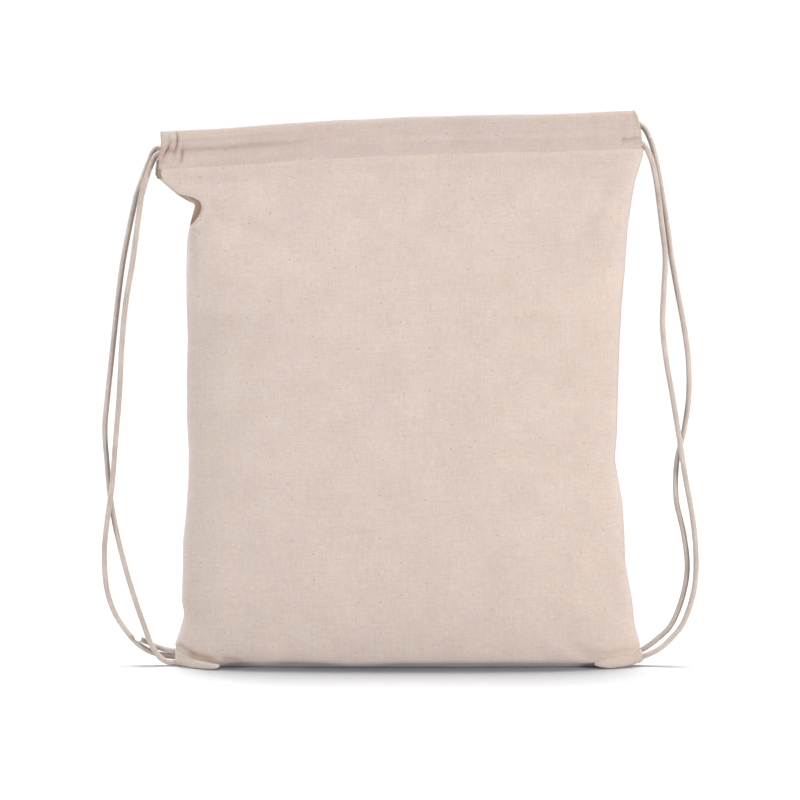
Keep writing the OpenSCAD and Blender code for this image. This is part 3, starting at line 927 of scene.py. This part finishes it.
def make_tacks(thread, shaded_tack_thread):
    # The left tack is real thread, made dark brown along the corner's edge: painted shade
    edge = [(-179.3, -11.9, 377.5), (-179.9, -11.4, 371.5), (-180.2, -10.6, 367.0), (-178.4, -9.8, 363.6)]
    tack("left_mouth_tack", edge, (2.3, -0.3, 0.5), 30, 0.36, shaded_tack_thread, "left_mouth_end",
         "left_mouth_bartack")
    start = casing_face_point(340.5, -6.6, -1, -0.6)
    end = casing_face_point(354.5, -6.0, -1, -0.2)
    tack("right_mouth_tack", [start, end], (0, 0, 0.9), 24, 0.2, thread, "right_mouth_end",
         "right_mouth_bartack")
    tack("left_tab_tack", [(-164.4, -4.9, 2.4), (-164.8, -4.9, 12.6)], (1.3, 0, 0), 18, 0.3, thread,
         "bag", "left_tab_bartack")
    tack("right_tab_tack", [(175.6, -4.9, 2.4), (175.9, -4.9, 11.6)], (1.3, 0, 0), 16, 0.3, thread,
         "bag", "right_tab_bartack")


# ---------- corner tabs ----------

def tab_mesh(name, stations, material):
    """Folded cloth lofted over stations."""
    count, around, squareness = 60, 48, 0.62
    table = np.array(stations, float)
    run = run_along(table[:, :4])
    x, low, high, mid, half = resampled(table, run, np.linspace(0, run[-1], count)).T[:, :, None]
    angle = np.linspace(0, 2 * math.pi, around, endpoint=False)[None, :]
    ca = np.sign(np.cos(angle)) * np.abs(np.cos(angle)) ** squareness
    sa = np.sign(np.sin(angle)) * np.abs(np.sin(angle)) ** squareness
    z = (low + high) / 2 + (high - low) / 2 * sa
    wrinkle = 0.35 * smooth_noise(x / 4 + 9, z / 3 + 9, 41)
    y = mid + half * ca + wrinkle * np.sign(ca)
    points = np.stack(np.broadcast_arrays(x, y, z), -1)
    centre = points.mean(axis=1)
    verts = np.concatenate([points.reshape(-1, 3), centre[:1], centre[-1:]])
    walls, caps = tube_faces(count, around)
    faces = [f[::-1] for f in walls + caps]
    flat = np.stack([verts[:, 0] * MM + 0.013, verts[:, 2] * MM + 0.2], -1)
    return make_object(name, verts, faces, np.ones(len(faces), bool), material, flat)


# Stations of the tabs along x: x, bottom z, top z, middle y, half thickness
LEFT_TAB = [
    (-168.9, 4.0, 10.0, 0, 1.6), (-168.6, 1.0, 14.0, 0, 3.6), (-167.4, 0.2, 15.6, 0, 4.4),
    (-164.0, 0.1, 12.8, -1.0, 4.6), (-160.4, 0.1, 10.2, -4.5, 4.4), (-154.2, 0.2, 7.4, -11.0, 4.2),
    (-147.0, 0.3, 5.8, -16.2, 4.0), (-140.5, 0.7, 5.0, -20.4, 3.6), (-136.8, 1.5, 4.7, -22.4, 2.8),
    (-134.4, 2.6, 4.5, -23.2, 1.4),
]
RIGHT_TAB = [
    (182.2, 5.4, 8.0, 0, 1.4), (181.4, 3.6, 10.2, 0, 3.4), (180.2, 2.8, 12.0, 0, 4.4),
    (178.0, 2.2, 13.4, 0, 4.8), (174.0, 1.2, 13.0, -1.2, 5.0), (170.0, 0.8, 12.0, -4.4, 4.8),
    (165.0, 0.5, 11.2, -8.6, 4.4), (159.0, 0.4, 10.2, -12.6, 4.2), (153.0, 0.7, 9.0, -15.4, 3.6),
    (148.0, 1.6, 7.6, -17.0, 2.4), (144.0, 3.0, 6.0, -17.6, 0.8),
]


def make_tabs(left_material, right_material):
    for hand, table, material in (("left", LEFT_TAB, left_material), ("right", RIGHT_TAB, right_material)):
        obj = tab_mesh(f"{hand}_tab_cloth", table, material)
        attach(obj, "bag")
        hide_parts(f"{hand}_corner_tab")


# ---------- side seams, inside ----------

def make_side_seams(cloth, thread):
    inset, allowance, thickness = 1.6, 7, 1.0
    loop = ((-3.6, -0.7, 0), (-1.5, -0.9, 0.7), (0.5, 0.0, 1.0), (-1.5, 1.4, 1.4))
    for way, hand, table in ((1, "left", LEFT_SIDE), (-1, "right", RIGHT_SIDE)):
        z = np.linspace(46, 296, 160)
        edge = softened(table, z, 2.5) + way * inset
        width = np.linspace(0, allowance, 12)
        x = edge[:, None] + way * width[None, :]
        y = 0.5 + 0.5 * smooth_noise(z[:, None] / 14 + 4, width[None, :] / 5 + 4, 51)
        zz = np.broadcast_to(z[:, None], x.shape)
        grid = np.stack(np.broadcast_arrays(x, y, zz), -1)
        flat = np.stack([x * MM, zz * MM], -1)
        obj = sheet_mesh(f"{hand}_seam_allowance", grid, flat, thickness, way, cloth)
        follow_mouth(obj)
        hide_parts(f"{hand}_side_seam")
        loops = []
        for k in np.arange(48, 294, 2.0):
            rim = float(np.interp(k, z, edge)) + way * allowance
            loops.append(spline([(rim + way * a, b, k + c) for a, b, c in loop], 1.0))
        threads = thread_object(f"{hand}_overlock", loops, 0.22, thread)
        follow_mouth(threads)
        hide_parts(f"{hand}_side_seam")


# ---------- stage ----------

def add_to_scene(name, data):
    obj = bpy.data.objects.new(name, data)
    bpy.context.scene.collection.objects.link(obj)
    return obj


def aim(obj, direction):
    obj.rotation_euler = Vector(direction).to_track_quat("-Z", "Y").to_euler()


def make_camera():
    distance, elevation = 2.0, math.radians(3.0)
    target = Vector((-0.0005, 0.0, 0.1994))
    data = bpy.data.cameras.new("camera")
    data.sensor_width = 36
    data.lens = 120.7
    camera = add_to_scene("camera", data)
    camera.location = target + distance * Vector((0, -math.cos(elevation), math.sin(elevation)))
    aim(camera, target - camera.location)
    bpy.context.scene.camera = camera


# Area lights: name, place, target, size, power, colour
LIGHTS = [
    ("key", (2.3, -1.7, 0.36), (0, 0, 0.2), 1.0, 90, (0.975, 0.972, 1.0)),
    ("left fill", (-2.2, -1.2, 0.34), (-0.1, 0, 0.2), 0.9, 46, (0.86, 0.92, 1.0)),
    ("back fill", (-1.6, 2.3, 0.5), (0, 0, 0.2), 1.0, 36, (0.95, 0.97, 1.0)),
]


def make_lights():
    for name, place, target, size, power, colour in LIGHTS:
        data = bpy.data.lights.new(name, "AREA")
        data.shape = "DISK"
        data.size = size
        data.energy = power
        data.color = colour
        light = add_to_scene(name, data)
        light.location = place
        aim(light, Vector(target) - light.location)
    sun = bpy.data.lights.new("overhead", "SUN")
    sun.energy = 5.9
    sun.angle = math.radians(30)
    aim(add_to_scene("overhead", sun), (0.03, -0.16, -1.0))


def make_world():
    """Soft ambient light, and a white backdrop that only the camera sees."""
    world = bpy.data.worlds.new("studio")
    world.use_nodes = True
    nodes, links = world.node_tree.nodes, world.node_tree.links
    backdrop = nodes["Background"]
    backdrop.inputs["Color"].default_value = (1, 1, 1, 1)
    backdrop.inputs["Strength"].default_value = 1.05
    ambient = nodes.new("ShaderNodeBackground")
    ambient.inputs["Color"].default_value = (0.94, 0.965, 1.0, 1)
    ambient.inputs["Strength"].default_value = 0.38
    mix = nodes.new("ShaderNodeMixShader")
    links.new(nodes.new("ShaderNodeLightPath").outputs["Is Camera Ray"], mix.inputs[0])
    links.new(ambient.outputs[0], mix.inputs[1])
    links.new(backdrop.outputs[0], mix.inputs[2])
    links.new(mix.outputs[0], nodes["World Output"].inputs["Surface"])
    bpy.context.scene.world = world
    bpy.context.scene.view_settings.view_transform = "Standard"


def make_floor():
    half = 9.0
    g = Graph("floor")
    g.shine(Roughness=0.9)
    g.colour(g.noise(g.solid_place(), 3), (0.50, 0.50, 0.505), (0.52, 0.52, 0.525))
    mesh = bpy.data.meshes.new("floor")
    corners = [(-half, -half, 0), (half, -half, 0), (half, half, 0), (-half, half, 0)]
    mesh.from_pydata(corners, [], [(0, 1, 2, 3)])
    mesh.materials.append(g.material)
    add_to_scene("floor", mesh)


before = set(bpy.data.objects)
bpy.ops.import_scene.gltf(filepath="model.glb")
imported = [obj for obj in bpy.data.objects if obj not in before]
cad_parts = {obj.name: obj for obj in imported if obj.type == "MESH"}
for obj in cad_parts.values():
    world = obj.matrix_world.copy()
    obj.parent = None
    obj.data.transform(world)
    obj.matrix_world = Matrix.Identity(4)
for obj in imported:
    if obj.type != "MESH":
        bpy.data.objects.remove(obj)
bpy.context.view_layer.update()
make_camera()
cotton = cloth_material("cotton", (0.490, 0.402, 0.348), (0.372, 0.300, 0.256))
# The left tab's cotton is the wall cotton made lighter: painted light on the folded flap
lit_tab_cotton = cloth_material("tab cotton with painted light", (0.530, 0.440, 0.378), (0.420, 0.343, 0.288))
# The casings' cotton is the wall cotton made darker: painted shade
shaded_hem_cotton = cloth_material("hem cotton with painted shade", (0.436, 0.357, 0.310), (0.332, 0.267, 0.228))
seam = cloth_material("seam cotton", (0.56, 0.46, 0.40), (0.46, 0.37, 0.31), (0.30, 0.19, 0.11), 0.3)
cord = cord_material("braided cotton cord", (0.50, 0.425, 0.37), (0.27, 0.218, 0.182))
tip_wax = thread_material("sealed tip", (0.86, 0.88, 0.85), (0.72, 0.74, 0.70))
sewing = thread_material("sewing thread", (0.47, 0.385, 0.335), (0.36, 0.285, 0.24))
# Dark thread for the left mouth tack: painted shade along the edge there
shaded_tack_sewing = thread_material("tack thread with painted shade", (0.19, 0.135, 0.095), (0.11, 0.077, 0.052))
make_cords(cord, tip_wax)
make_walls(cotton)
make_casings(shaded_hem_cotton)
make_hem_stitches(sewing)
make_tacks(sewing, shaded_tack_sewing)
make_tabs(lit_tab_cotton, cotton)
make_side_seams(seam, sewing)
make_world()
make_lights()
make_floor()
